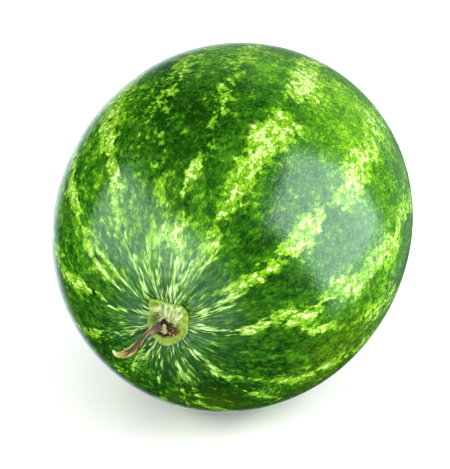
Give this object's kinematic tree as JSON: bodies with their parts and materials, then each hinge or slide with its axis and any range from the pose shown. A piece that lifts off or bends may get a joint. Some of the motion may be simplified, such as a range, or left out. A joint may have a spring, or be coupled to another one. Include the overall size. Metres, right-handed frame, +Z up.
{
  "type": "whole striped watermelon",
  "caption": "Whole round-oval watermelon with broken light stripes on green rind, lying on its side on a small flat spot, with a pale stem pad and a short dried, hooked stalk.",
  "frame": {"origin": "middle of the small flat spot that the fruit lies on", "axes": "+Z up, -Y along the fruit's long axis towards the stalk end, +Y towards the blossom end, +X to the right when seen from the stalk end"},
  "size_m": [0.25, 0.3071, 0.2483],
  "materials": {
    "rind": "waxy satin melon rind, dark green with broken yellow-green stripes",
    "stem_pad": "matt pale green plant tissue with a corky brown scar",
    "dried_stalk": "dry, fibrous and wrinkled, brown with a pale cream tip"
  },
  "bodies": {
    "root": {"melon": "rind", "stem_pad": "stem_pad", "stem": "dried_stalk"}
  },
  "joints": []
}
